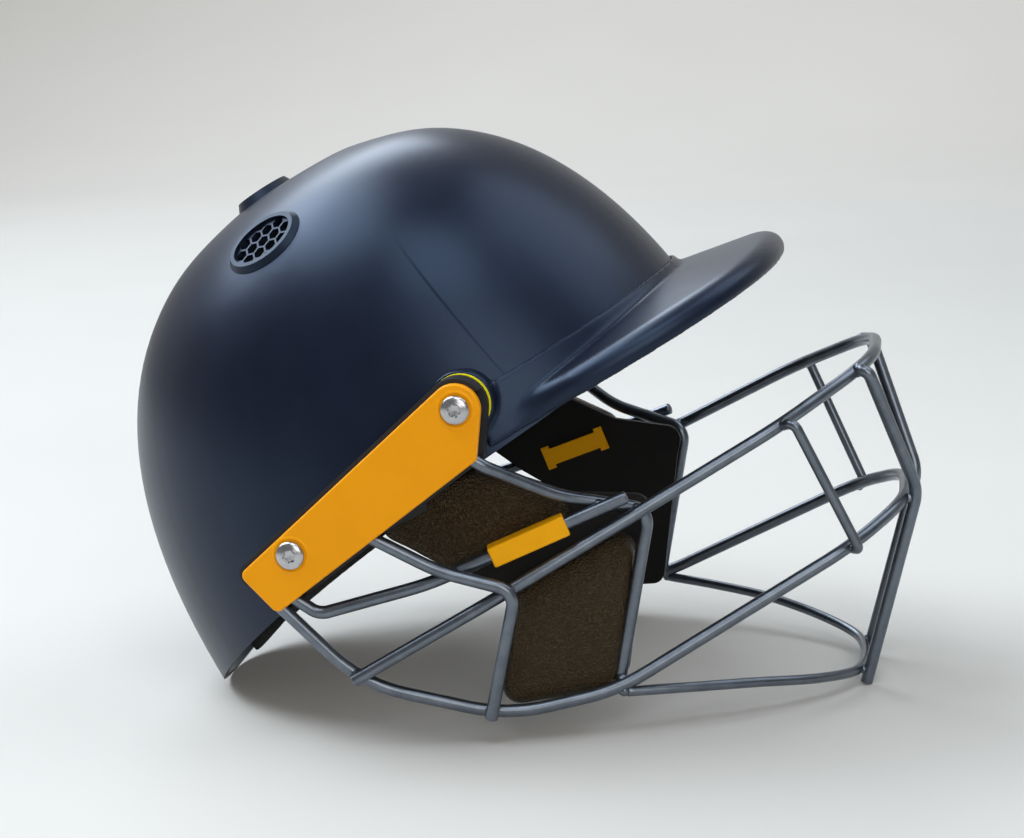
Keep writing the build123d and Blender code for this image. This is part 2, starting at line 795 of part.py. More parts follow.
def sub_parts():
    """Every sub-part by name, drawn as the helmet is worn."""
    vents = vent_planes()
    parts = {
        "outer_shell": make_shell(),
        "peak": make_peak(),
        "vent_left": make_vent(vents[0], side_vent_stand),
        "vent_right": make_vent(vents[1], side_vent_stand),
        "vent_top": make_vent(vents[2], top_vent_stand),
        "impact_liner": make_liner(),
        "brow_pad": make_brow_pad(),
        "crown_pad": make_crown_pad(),
        "nape_pad": make_nape_pad(),
        "plate_screws": make_screws(),
        "flange_nuts": make_nuts(),
        "anchor_rivets": make_rivets(),
        "top_bar": make_top_bar(),
        "jaw_bar": make_jaw_bar(),
        "chin_bar": make_chin_bar(),
    }
    paired = {
        "temple_pad": make_temple_pad,
        "side_plate": make_side_plate,
        "spacer": make_spacer,
        "gasket": make_gasket,
        "grille_strap": make_grille_strap,
        "centre_upright": make_centre_upright,
        "side_upright": make_side_upright,
        "ear_bar": make_ear_bar,
        "cheek_bar": make_cheek_bar,
        "strut_bar": make_strut_bar,
        "ear_pad": make_ear_pad,
        "cheek_pad": make_cheek_pad,
        "guard_board": make_board,
        "pad_clip": make_clip,
        "strap_anchor": make_anchor,
    }
    for name, make in paired.items():
        left = make()
        parts[name + "_left"] = left
        parts[name + "_right"] = mirror(left, about=Plane.XZ)
    return parts


def resting_lean(shell, foot):
    """Angle that brings the nape rim and the feet of the grille down to one level."""
    run = grille_reach * centre_upright_shares[-1][0] + shell_rear_reach
    lean = 0
    for turn in range(lean_turns):
        tilt = Rot(0, -lean, 0)
        rise = (tilt * shell).bounding_box().min.Z - (tilt * foot).bounding_box().min.Z
        lean += degrees(atan2(rise, run))
    return lean


def lying_down(parts):
    """Tip the helmet back until its nape rim and the feet of the grille touch the table."""
    lean = resting_lean(parts["outer_shell"], parts["centre_upright_left"])
    return {name: Rot(0, -lean, 0) * shape for name, shape in parts.items()}


def main():
    os.makedirs("parts", exist_ok=True)
    tipped = lying_down(sub_parts())
    boxes = [shape.bounding_box() for shape in tipped.values()]
    low = min(box.min.Z for box in boxes)
    rear = min(box.min.X for box in boxes)
    front = max(box.max.X for box in boxes)
    settle = Pos(-(rear + front) / 2, 0, -low)
    for name, shape in tipped.items():
        export_step(settle * shape, "parts/" + name + ".step")


if __name__ == "__main__":
    main()
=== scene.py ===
import json
import math
import random

import bmesh
import bpy
from mathutils import Euler, Matrix, Vector, noise
from mathutils.bvhtree import BVHTree
from mathutils.geometry import interpolate_bezier


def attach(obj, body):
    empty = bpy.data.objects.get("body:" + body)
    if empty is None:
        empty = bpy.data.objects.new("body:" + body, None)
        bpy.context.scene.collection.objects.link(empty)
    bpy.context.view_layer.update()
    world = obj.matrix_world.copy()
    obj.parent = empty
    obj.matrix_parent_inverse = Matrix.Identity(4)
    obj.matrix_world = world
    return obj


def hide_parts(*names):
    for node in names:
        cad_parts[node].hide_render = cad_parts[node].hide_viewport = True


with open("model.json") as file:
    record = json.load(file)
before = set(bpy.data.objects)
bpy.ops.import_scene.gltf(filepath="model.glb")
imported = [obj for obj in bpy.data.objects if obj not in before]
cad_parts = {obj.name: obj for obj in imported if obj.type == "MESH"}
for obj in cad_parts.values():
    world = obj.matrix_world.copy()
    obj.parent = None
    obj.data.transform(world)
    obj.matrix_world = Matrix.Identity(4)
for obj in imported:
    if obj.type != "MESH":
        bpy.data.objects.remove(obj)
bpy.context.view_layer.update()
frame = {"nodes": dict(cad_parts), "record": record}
nodes = frame["nodes"]

SIDES = ("left", "right")
X_AXIS = Vector((1, 0, 0))
Y_AXIS = Vector((0, 1, 0))
Z_AXIS = Vector((0, 0, 1))

# The helmet as worn, before it is tipped back on the table: +X forward, +Y left, +Z up
LEAN = math.radians(28.313)
SETTLE = Vector((-0.005247, 0.0, 0.0582))
WORN = Matrix.Translation(SETTLE) @ Matrix.Rotation(-LEAN, 4, "Y")
UPRIGHT = WORN.inverted()

# Radii of the wires of the grille
HEAVY_WIRE = 0.0025
LIGHT_WIRE = 0.0020


# Materials

def new_material(name):
    """An empty node material with its Principled shader."""
    material = bpy.data.materials.new(name)
    material.use_nodes = True
    tree = material.node_tree
    shader = tree.nodes["Principled BSDF"]
    return material, tree, shader


def add_node(tree, kind, **values):
    """New node, with each value set on its input or its property of that name."""
    node = tree.nodes.new(kind)
    for key, value in values.items():
        if key in node.inputs:
            node.inputs[key].default_value = value
        else:
            setattr(node, key, value)
    return node


def object_noise(tree, scale, detail=4.0, roughness=0.55):
    """Noise in object space, so it stays with its piece."""
    where = add_node(tree, "ShaderNodeTexCoord")
    grain = add_node(tree, "ShaderNodeTexNoise", Scale=scale, Detail=detail, Roughness=roughness)
    tree.links.new(where.outputs["Object"], grain.inputs["Vector"])
    return grain.outputs["Fac"]


def ramp(tree, source, low, high, first, last):
    """Map a value between two positions to a pair of colours."""
    node = add_node(tree, "ShaderNodeValToRGB")
    node.color_ramp.elements[0].position = low
    node.color_ramp.elements[1].position = high
    node.color_ramp.elements[0].color = (*first, 1)
    node.color_ramp.elements[1].color = (*last, 1)
    tree.links.new(source, node.inputs["Fac"])
    return node.outputs["Color"]


def smooth_step(tree, source, from_min, from_max, to_min=0.0, to_max=1.0):
    """Map a value between two limits to another pair, easing at both ends."""
    node = add_node(tree, "ShaderNodeMapRange", interpolation_type="SMOOTHSTEP")
    node.inputs["From Min"].default_value = from_min
    node.inputs["From Max"].default_value = from_max
    node.inputs["To Min"].default_value = to_min
    node.inputs["To Max"].default_value = to_max
    tree.links.new(source, node.inputs["Value"])
    return node.outputs["Result"]


def bump(tree, shader, source, relief, depth):
    """Relief on a surface, where the source is high."""
    node = add_node(tree, "ShaderNodeBump", Strength=relief, Distance=depth)
    tree.links.new(source, node.inputs["Height"])
    tree.links.new(node.outputs["Normal"], shader.inputs["Normal"])
    return node


def varied(name, low, high, scale, rough, relief, metallic=0.0, specular=0.5, tint=(1, 1, 1)):
    """Surface whose colour, roughness and relief vary a little with fine noise."""
    ramp_from, ramp_to = 0.3, 0.7
    fine_ratio, fine_detail, fine_depth = 6, 2.0, 0.0002
    material, tree, shader = new_material(name)
    grain = object_noise(tree, scale)
    tree.links.new(ramp(tree, grain, ramp_from, ramp_to, low, high), shader.inputs["Base Color"])
    polish = add_node(tree, "ShaderNodeMapRange")
    polish.inputs["To Min"].default_value = rough[0]
    polish.inputs["To Max"].default_value = rough[1]
    tree.links.new(grain, polish.inputs["Value"])
    tree.links.new(polish.outputs["Result"], shader.inputs["Roughness"])
    shader.inputs["Metallic"].default_value = metallic
    shader.inputs["Specular IOR Level"].default_value = specular
    shader.inputs["Specular Tint"].default_value = (*tint, 1)
    bump(tree, shader, object_noise(tree, scale * fine_ratio, fine_detail), relief, fine_depth)
    return material


def grained(name, low, high, cell, relief, depth, rough, specular, tint=(1, 1, 1)):
    """Skin with a fine pebble grain and an uneven colour."""
    ramp_from, ramp_to = 0.35, 0.65
    noise_ratio, noise_detail, noise_part = 1.5, 3.0, 0.2
    material, tree, shader = new_material(name)
    where = add_node(tree, "ShaderNodeTexCoord")
    pebble = add_node(tree, "ShaderNodeTexVoronoi", Scale=cell, Randomness=1.0)
    tree.links.new(where.outputs["Object"], pebble.inputs["Vector"])
    grain = object_noise(tree, cell / noise_ratio, noise_detail)
    tree.links.new(ramp(tree, grain, ramp_from, ramp_to, low, high), shader.inputs["Base Color"])
    shader.inputs["Roughness"].default_value = rough
    shader.inputs["Specular IOR Level"].default_value = specular
    shader.inputs["Specular Tint"].default_value = (*tint, 1)
    height = add_node(tree, "ShaderNodeMath", operation="MULTIPLY_ADD")
    height.inputs[1].default_value = noise_part
    tree.links.new(grain, height.inputs[0])
    tree.links.new(pebble.outputs["Distance"], height.inputs[2])
    bump(tree, shader, height.outputs["Value"], relief, depth)
    return material


def place_along(tree, direction, start):
    """Distance along a direction of the worn helmet, past a starting distance."""
    where = add_node(tree, "ShaderNodeTexCoord")
    turned = WORN.to_3x3() @ Vector(direction)
    along = add_node(tree, "ShaderNodeVectorMath", operation="DOT_PRODUCT")
    along.inputs[1].default_value = turned
    tree.links.new(where.outputs["Object"], along.inputs[0])
    past = add_node(tree, "ShaderNodeMath", operation="SUBTRACT")
    past.inputs[1].default_value = start + SETTLE.dot(turned)
    tree.links.new(along.outputs["Value"], past.inputs[0])
    return past.outputs["Value"]


def add_mould_line(material):
    """Faint step down each side of the shell ahead of the vents, fading towards the crown."""
    line_reach, line_height, line_slope, half_width = 0.0387, 0.1318, 0.2125, 0.0007
    fade_start, fade_end, relief, depth = -0.030, 0.014, 0.5, 0.0003
    tree = material.node_tree
    shader = tree.nodes["Principled BSDF"]
    grain = shader.inputs["Normal"].links[0].from_node
    aside = place_along(tree, (1, 0, line_slope), line_reach + line_slope * line_height)
    above = place_along(tree, (0, 0, 1), line_height)
    level = add_node(tree, "ShaderNodeMath", operation="MULTIPLY")
    tree.links.new(smooth_step(tree, aside, -half_width, half_width), level.inputs[0])
    tree.links.new(smooth_step(tree, above, fade_start, fade_end, 1.0, 0.0), level.inputs[1])
    crease = bump(tree, shader, level.outputs["Value"], relief, depth)
    tree.links.new(grain.outputs["Normal"], crease.inputs["Normal"])


# Painted tints of the highlights: a painted blue highlight on the shell, peak and vents, and a
# painted warm reflection on the orange parts and the foam
PAINTED_BLUE_HIGHLIGHT = (0.46, 0.66, 1.0)
PAINTED_AMBER_REFLECTION = (1.0, 0.72, 0.30)
PAINTED_SAND_REFLECTION = (1.0, 0.82, 0.55)

NAVY = varied(
    "navy_satin", (0.004, 0.005, 0.013), (0.006, 0.008, 0.019),
    scale=40, rough=(0.31, 0.38), relief=0.05, tint=PAINTED_BLUE_HIGHLIGHT,
)
PEAK = varied(
    "peak_satin", (0.004, 0.006, 0.014), (0.007, 0.009, 0.021),
    scale=55, rough=(0.31, 0.38), relief=0.06, tint=PAINTED_BLUE_HIGHLIGHT,
)
VENT = varied(
    "vent_navy", (0.003, 0.004, 0.010), (0.005, 0.007, 0.015),
    scale=120, rough=(0.36, 0.46), relief=0.08, tint=PAINTED_BLUE_HIGHLIGHT,
)
SPACER = varied(
    "spacer_black", (0.005, 0.005, 0.007), (0.009, 0.009, 0.012),
    scale=150, rough=(0.5, 0.7), relief=0.15,
)
LINER = varied(
    "liner_foam", (0.008, 0.008, 0.008), (0.02, 0.019, 0.018),
    scale=260, rough=(0.8, 0.95), relief=1.0,
)
PLATE = varied(
    "plate_orange", (0.91, 0.335, 0.0005), (0.96, 0.37, 0.001),
    scale=30, rough=(0.32, 0.42), relief=0.04, tint=PAINTED_AMBER_REFLECTION,
)
CLIP = varied(
    "clip_orange", (0.88, 0.38, 0.0005), (0.94, 0.42, 0.001),
    scale=60, rough=(0.42, 0.52), relief=0.08, tint=PAINTED_AMBER_REFLECTION,
)
GASKET = varied(
    "gasket_yellow", (0.94, 0.82, 0.002), (0.98, 0.87, 0.005),
    scale=90, rough=(0.45, 0.6), relief=0.1, tint=PAINTED_AMBER_REFLECTION,
)
# Dark grey steel whose blue cast is painted bluish light
GRILLE = varied(
    "grille_grey", (0.13, 0.15, 0.18), (0.18, 0.205, 0.24),
    scale=160, rough=(0.25, 0.33), relief=0.04, metallic=0.9,
)
STEEL = varied(
    "screw_steel", (0.44, 0.44, 0.45), (0.56, 0.56, 0.57),
    scale=300, rough=(0.20, 0.30), relief=0.06, metallic=1.0,
)
BOARD = varied(
    "board_black", (0.003, 0.003, 0.003), (0.008, 0.007, 0.006),
    scale=140, rough=(0.5, 0.7), relief=0.2, specular=0.25,
)
ANCHOR = varied(
    "anchor_black", (0.010, 0.010, 0.012), (0.018, 0.018, 0.020),
    scale=120, rough=(0.4, 0.55), relief=0.1,
)
# Near-black foam whose brown cast is partly its own colour and partly painted warm bounce light, with
# a painted warm tint on its reflections
GUARD = grained(
    "guard_foam", (0.010, 0.005, 0.0015), (0.032, 0.017, 0.005),
    cell=1500, relief=1.0, depth=0.0007, rough=0.22, specular=0.6, tint=PAINTED_SAND_REFLECTION,
)
CLOTH = grained(
    "comfort_cloth", (0.010, 0.010, 0.010), (0.020, 0.019, 0.018),
    cell=1100, relief=0.5, depth=0.0004, rough=0.85, specular=0.3,
)
add_mould_line(NAVY)

FINISHES = {
    "outer_shell": NAVY,
    "peak": PEAK,
    "vent": VENT,
    "impact_liner": LINER,
    "side_plate": PLATE,
    "spacer": SPACER,
    "gasket": GASKET,
    "plate_screws": STEEL,
    "flange_nuts": STEEL,
    "anchor_rivets": STEEL,
    "guard_board": BOARD,
    "pad_clip": CLIP,
    "strap_anchor": ANCHOR,
}


def finish_of(node):
    """Material of a node by the start of its name: all that isn't listed is part of the grille."""
    for start, material in FINISHES.items():
        if node.startswith(start):
            return material
    return GRILLE


for name, piece in nodes.items():
    piece.data.materials.clear()
    piece.data.materials.append(finish_of(name))


# Making and finishing pieces

def add_remesh(piece, voxel):
    """Rebuild the mesh of a piece from even squares."""
    remesh = piece.modifiers.new("even", "REMESH")
    remesh.mode = "VOXEL"
    remesh.voxel_size = voxel


def add_smooth(piece, rounds):
    """Soften the edges of a piece, more with each round."""
    smooth = piece.modifiers.new("soften", "SMOOTH")
    smooth.factor = 0.5
    smooth.iterations = rounds


def even_copy(node, name, voxel):
    """Copy of a solid that is to get an even mesh, which is easy to shape."""
    source = nodes[node]
    piece = bpy.data.objects.new(name, source.data.copy())
    piece.matrix_world = source.matrix_world.copy()
    bpy.context.scene.collection.objects.link(piece)
    add_remesh(piece, voxel)
    return piece


def settle(piece):
    """Turn the modifiers of a piece into its mesh."""
    mesh = bpy.data.meshes.new_from_object(piece.evaluated_get(bpy.context.evaluated_depsgraph_get()))
    piece.modifiers.clear()
    piece.data = mesh
    return mesh


def piece_from(form, name):
    """New object from a bmesh."""
    mesh = bpy.data.meshes.new(name)
    bmesh.ops.recalc_face_normals(form, faces=form.faces)
    form.to_mesh(mesh)
    form.free()
    piece = bpy.data.objects.new(name, mesh)
    bpy.context.scene.collection.objects.link(piece)
    return piece


def finish_piece(piece, material):
    """Give a piece its material and a smooth skin, and tie it to the helmet."""
    piece.data.materials.clear()
    piece.data.materials.append(material)
    piece.data.polygons.foreach_set("use_smooth", [True] * len(piece.data.polygons))
    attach(piece, "helmet")


def clamp(value):
    """Keep a value between nought and one."""
    return min(max(value, 0), 1)


# Soft pieces, made from the foam solids with rounded, crowned skins

def draw_back(mesh):
    """Stretch the lower rear corner of an ear pad to the wire that it lies against."""
    start, run, top, fade, most = -0.015, 0.020, 0.090, 0.010, 0.0055
    for vertex in mesh.vertices:
        rearward = clamp((start - vertex.co.x) / run)
        low = clamp((top - vertex.co.z) / fade)
        vertex.co.x -= most * rearward**2 * low


def soft_copy(node, material, voxel, rounds, swell):
    """A cushion with the outline of a foam solid, softened edges and a low crown."""
    piece = even_copy(node, node + "_soft", voxel)
    add_smooth(piece, rounds)
    crown = piece.modifiers.new("crown", "DISPLACE")
    crown.strength = swell
    crown.mid_level = 0.0
    mesh = settle(piece)
    if node.startswith("ear_pad"):
        draw_back(mesh)
    finish_piece(piece, material)
    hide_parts(node)


for side in SIDES:
    soft_copy("ear_pad_" + side, GUARD, voxel=0.0009, rounds=26, swell=0.0009)
    soft_copy("cheek_pad_" + side, GUARD, voxel=0.0009, rounds=34, swell=0.0022)
    soft_copy("temple_pad_" + side, CLOTH, voxel=0.0014, rounds=8, swell=0.0003)
for node in ("brow_pad", "crown_pad", "nape_pad"):
    soft_copy(node, CLOTH, voxel=0.0014, rounds=8, swell=0.0003)


# The peak, whose ends run out to points on its skirt

def skirt_side(reach, height):
    """Half width of the skirt's outer face at a reach and a height of the worn helmet."""
    front, half, crown, power = 0.121, 0.106, 0.177, 2.5
    level = (1 - clamp(height / crown) ** power) ** (2 / power)
    return half * math.sqrt(max(level - (reach / front) ** 2, 0))


def make_peak():
    """Peak whose brim sinks into its skirt towards the rear, so that it ends in a point."""
    tip_reach, blend_run = 0.040, 0.034
    boss_reach, boss_height, boss_radius = 0.035, 0.067, 0.0135
    voxel, rounds = 0.0008, 16
    piece = even_copy("peak", "peak_moulded", voxel)
    mesh = settle(piece)
    for vertex in mesh.vertices:
        reach, side, height = UPRIGHT @ vertex.co
        share = clamp((reach - tip_reach) / blend_run)
        on_boss = math.hypot(reach - boss_reach, height - boss_height) < boss_radius
        skirt = skirt_side(reach, height)
        if share < 1 and abs(side) > skirt and not on_boss:
            proud = (abs(side) - skirt) * share
            vertex.co = WORN @ Vector((reach, math.copysign(skirt + proud, side), height))
    add_remesh(piece, voxel)
    add_smooth(piece, rounds)
    settle(piece)
    finish_piece(piece, PEAK)
    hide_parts("peak")


make_peak()


# Round forms made of rings

def add_ring(form, centre, across, over, radii):
    """Closed ring of points about a centre, with a radius for each point."""
    count = len(radii)
    turns = [2 * math.pi * index / count for index in range(count)]
    return [
        form.verts.new(centre + (across * math.cos(turn) + over * math.sin(turn)) * radius)
        for turn, radius in zip(turns, radii)
    ]


def join_rings(form, rings):
    """Skin between each ring and the next."""
    for first, second in zip(rings, rings[1:]):
        for index in range(len(first)):
            after = (index + 1) % len(first)
            form.faces.new((first[index], first[after], second[after], second[index]))


def close_point(form, ring, point):
    """Skin between a ring and the point above it."""
    for index in range(len(ring)):
        form.faces.new((ring[index], ring[(index + 1) % len(ring)], point))


def domed_rings(form, centre, across, over, ahead, radius, dome, sides):
    """Rings of a low dome, from its foot to near its top, and the point at its top."""
    steps = 4
    rings = []
    for step in range(steps):
        turn = math.pi / 2 * step / steps
        middle = centre + ahead * dome * math.sin(turn)
        rings.append(add_ring(form, middle, across, over, [radius * math.cos(turn)] * sides))
    return rings, form.verts.new(centre + ahead * dome)


def add_turned(form, rows, place):
    """Skin through rings about the Z axis, given by height and radii, moved to a place."""
    rings = [add_ring(form, Z_AXIS * height, X_AXIS, Y_AXIS, radii) for height, radii in rows]
    join_rings(form, rings)
    bmesh.ops.transform(form, matrix=place, verts=[vert for ring in rings for vert in ring])
    return rings


# Chin bar, one even sweep between the ends of the jaw bar

def smooth_line(places, steps):
    """Points of a curve that passes through a few places without a kink."""
    last = len(places) - 1
    headings = []
    for index in range(last + 1):
        heading = places[min(index + 1, last)] - places[max(index - 1, 0)]
        headings.append(heading.normalized())
    line = []
    for index in range(last):
        start, end = places[index], places[index + 1]
        handle = (end - start).length / 3
        first, second = start + headings[index] * handle, end - headings[index + 1] * handle
        line += interpolate_bezier(start, first, second, end, steps + 1)[:-1]
    return line + [places[-1]]


def wire_along(name, line, radius):
    """Round wire along a line of points, with a low dome at each end."""
    sides, dome_share = 28, 0.3
    form = bmesh.new()
    dome = dome_share * radius
    over = Z_AXIS
    rings = []
    for index, place in enumerate(line):
        before, after = line[max(index - 1, 0)], line[min(index + 1, len(line) - 1)]
        ahead = (after - before).normalized()
        over = (over - ahead * over.dot(ahead)).normalized()
        across = over.cross(ahead)
        if index == 0:
            first_dome, top = domed_rings(form, place, across, over, -ahead, radius, dome, sides)
            rings += first_dome[::-1]
            close_point(form, first_dome[-1], top)
        elif index == len(line) - 1:
            last_dome, top = domed_rings(form, place, across, over, ahead, radius, dome, sides)
            rings += last_dome
            close_point(form, last_dome[-1], top)
        else:
            rings.append(add_ring(form, place, across, over, [radius] * sides))
    join_rings(form, rings)
    return piece_from(form, name)


def make_chin_bar():
    """Chin bar through a few places of the worn helmet, the same on both sides."""
    steps = 14
    left = [
        (0.0290, 0.0850, -0.0622),
        (0.0480, 0.0750, -0.0741),
        (0.0680, 0.0622, -0.0873),
        (0.0890, 0.0420, -0.1036),
        (0.1000, 0.0205, -0.1125),
    ]
    places = left + [(reach, -side, height) for reach, side, height in reversed(left)]
    line = smooth_line([WORN @ Vector(place) for place in places], steps)
    piece = wire_along("chin_bar_swept", line, LIGHT_WIRE)
    finish_piece(piece, GRILLE)
    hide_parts("chin_bar")


make_chin_bar()


# Rounded ends of the other wires

def flat_ends(node, radius):
    """Centre and heading of each flat round end of a wire."""
    heading_digits, level_digits = 2, 4
    area_slack, reach_share = 0.08, 1.1
    mesh = nodes[node].data
    discs = {}
    for face in mesh.polygons:
        heading = tuple(round(part, heading_digits) for part in face.normal)
        level = round(face.center.dot(face.normal), level_digits)
        discs.setdefault((heading, level), []).append(face)
    ends = []
    for faces in discs.values():
        area = sum(face.area for face in faces)
        if abs(area / (math.pi * radius**2) - 1) > area_slack:
            continue
        centre = sum((face.center * face.area for face in faces), Vector()) / area
        corners = [mesh.vertices[index].co for face in faces for index in face.vertices]
        if max((corner - centre).length for corner in corners) < reach_share * radius:
            ends.append((centre, faces[0].normal.copy()))
    return ends


def make_wire_ends():
    """Low domes on the cut ends of the wires, but not on the feet."""
    form = bmesh.new()
    lowest, sides, foot_share, dome_share = 0.008, 24, 0.99, 0.35
    for node in sorted(nodes):
        if finish_of(node) is not GRILLE or "strap" in node or node == "chin_bar":
            continue
        radius = LIGHT_WIRE if "side_upright" in node else HEAVY_WIRE
        foot, dome = radius * foot_share, radius * dome_share
        for centre, ahead in flat_ends(node, radius):
            if centre.z < lowest:
                continue
            across = ahead.orthogonal().normalized()
            over = ahead.cross(across)
            rings, top = domed_rings(form, centre, across, over, ahead, foot, dome, sides)
            join_rings(form, rings)
            close_point(form, rings[-1], top)
    piece = piece_from(form, "wire_ends")
    finish_piece(piece, GRILLE)


make_wire_ends()


# Pan head screws with a six-lobed socket and a threaded end

# Radii of the head, the socket and the shank, and heights of the head's side and dome
HEAD_RADIUS, SOCKET, SHANK = 0.0055, 0.00225, 0.0025
SHOULDER, CROWN = 0.0009, 0.0020
PITCH, RIDGE = 0.0008, 0.0002
LOBES, SCREW_SIDES = 6, 48


def lobed_radii(radius, lobe=0.0):
    """Radii round a ring of a screw, which wave in and out with the lobes of its socket."""
    turns = [2 * math.pi * index / SCREW_SIDES for index in range(SCREW_SIDES)]
    return [radius + lobe * math.cos(LOBES * turn) for turn in turns]


def thread_radii(radius, height):
    """Radii round a ring of the thread, whose ridge climbs by its pitch in each turn."""
    phases = [(height / PITCH - index / SCREW_SIDES) % 1 for index in range(SCREW_SIDES)]
    return [radius + RIDGE * (abs(2 * phase - 1) - 0.5) for phase in phases]


def head_rows():
    """Height and radii of each ring of the head, from the floor of its socket to the shank."""
    floor, dimple, lobe, bevel, dip, edge = 0.0012, 0.0002, 0.00028, 0.0002, 0.00004, 0.0003
    centre_share, floor_share, lip_share, rim_share = 0.7, 0.97, 1.04, 1.25
    dome_share, under_share, steps = 1.4, 0.96, 12
    lip = SHOULDER + CROWN * math.sqrt(1 - (SOCKET / HEAD_RADIUS) ** 2)
    rows = [
        (floor - dimple, lobed_radii(dimple)),
        (floor, lobed_radii(SOCKET * centre_share)),
        (floor, lobed_radii(SOCKET * floor_share, lobe)),
        (lip - bevel, lobed_radii(SOCKET, lobe)),
        (lip, lobed_radii(SOCKET * lip_share, lobe)),
        (lip - dip, lobed_radii(SOCKET * rim_share)),
    ]
    first = math.acos(SOCKET * dome_share / HEAD_RADIUS)
    for step in range(steps + 1):
        turn = first * (1 - step / steps)
        rows.append((SHOULDER + CROWN * math.sin(turn), lobed_radii(HEAD_RADIUS * math.cos(turn))))
    return rows + [
        (edge, lobed_radii(HEAD_RADIUS)),
        (0.0, lobed_radii(HEAD_RADIUS * under_share)),
        (0.0, lobed_radii(SHANK)),
    ]


def shank_rows(length):
    """Height and radii of each ring of the shank, which is threaded towards its tip."""
    threaded, cuts, core_share, tip_share, point = 0.008, 8, 0.96, 0.8, 0.0002
    count = int(threaded / PITCH * cuts)
    rows = [(threaded - length, lobed_radii(SHANK))]
    for step in range(1, count):
        height = threaded * (1 - step / count) - length
        rows.append((height, thread_radii(SHANK * core_share, height)))
    return rows + [(-length, lobed_radii(SHANK * tip_share)), (-length, lobed_radii(point))]


def add_screw(form, length, place):
    """Closed screw, whose head sits on the origin of its place."""
    rings = add_turned(form, head_rows() + shank_rows(length), place)
    form.faces.new(rings[0])
    form.faces.new(rings[-1])


def add_collar(form, place):
    """Low moulded rim that a screw head sits in."""
    sides = 64
    profile = (
        (-0.0001, 0.0058),
        (0.0001, 0.0060),
        (0.00032, 0.0063),
        (0.00036, 0.0066),
        (0.00030, 0.0069),
        (0.00012, 0.0073),
        (-0.0001, 0.0076),
    )
    add_turned(form, [(height, [radius] * sides) for height, radius in profile], place)


def halfway(values):
    """Value half way between the least and the greatest of a list."""
    return (min(values) + max(values)) / 2


def make_screws():
    """A screw and its rim at each end of each side plate, where the solid screws are."""
    front_twist, rear_twist, sharp_turn = math.radians(20), math.radians(47), math.radians(40)
    groups = {}
    for vertex in nodes["plate_screws"].data.vertices:
        spot = UPRIGHT @ vertex.co
        groups.setdefault((spot.x > 0, spot.y > 0), []).append(spot)
    screw_form, rim_form = bmesh.new(), bmesh.new()
    for (front, left), spots in sorted(groups.items()):
        reach = halfway([spot.x for spot in spots])
        height = halfway([spot.z for spot in spots])
        offsets = [abs(spot.y) for spot in spots]
        face = max(offsets) - SHOULDER - CROWN
        outward = 1 if left else -1
        place = WORN @ Matrix.Translation((reach, outward * face, height))
        place = place @ Matrix.Rotation(-outward * math.pi / 2, 4, "X")
        twist = Matrix.Rotation(front_twist if front else rear_twist, 4, "Z")
        add_screw(screw_form, face - min(offsets), place @ twist)
        add_collar(rim_form, place)
    piece = piece_from(screw_form, "plate_screws_threaded")
    finish_piece(piece, STEEL)
    piece.data.set_sharp_from_angle(angle=sharp_turn)
    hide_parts("plate_screws")
    rims = piece_from(rim_form, "plate_screw_rims")
    finish_piece(rims, PLATE)


make_screws()


# Weld beads where the wires of the grille cross

def dense_form(node, longest):
    """Mesh of a wire with its long faces cut up, in the helmet's frame."""
    most_rounds = 8
    form = bmesh.new()
    form.from_mesh(nodes[node].data)
    form.transform(nodes[node].matrix_world)
    for _ in range(most_rounds):
        edges = [edge for edge in form.edges if edge.calc_length() > longest]
        if not edges:
            break
        bmesh.ops.subdivide_edges(form, edges=edges, cuts=1)
    return form


def contact_spots(first, second, reach):
    """Middle of each place where two dense forms touch, one a side at most."""
    tree = BVHTree.FromBMesh(second)
    touching = {True: [], False: []}
    for vertex in first.verts:
        if tree.find_nearest(vertex.co, reach)[0] is not None:
            touching[vertex.co.y > 0].append(vertex.co)
    return [sum(group, Vector()) / len(group) for group in touching.values() if group]


def make_weld_beads():
    """One small uneven bead at each crossing that the record states."""
    heavy_bead, light_bead = 0.0025, 0.0021
    longest_edge, touch_reach = 0.003, 0.0006
    stretch = Vector((1.15, 1.0, 0.92))
    wobble_share, wobble_scale, wobble_shift, seed = 0.10, 900, 2000, 7
    pairs = frame["record"]["behaviour"]["press_fits"]
    names = sorted({node for pair in pairs for node in pair})
    forms = {node: dense_form(node, longest_edge) for node in names}
    whole = bmesh.new()
    chance = random.Random(seed)
    for first, second in pairs:
        light = "chin" in first + second or "side_upright" in first + second
        radius = light_bead if light else heavy_bead
        for spot in contact_spots(forms[first], forms[second], touch_reach):
            bead = bmesh.ops.create_icosphere(whole, subdivisions=3, radius=radius)
            lean = Euler([chance.uniform(0, math.pi) for _ in range(3)]).to_matrix()
            for vertex in bead["verts"]:
                uneven = noise.noise(vertex.co * wobble_scale + spot * wobble_shift)
                vertex.co = spot + lean @ (vertex.co * stretch) * (1 + wobble_share * uneven)
    for form in forms.values():
        form.free()
    piece = piece_from(whole, "weld_beads")
    finish_piece(piece, GRILLE)


make_weld_beads()


# Floor, backdrop, light and camera

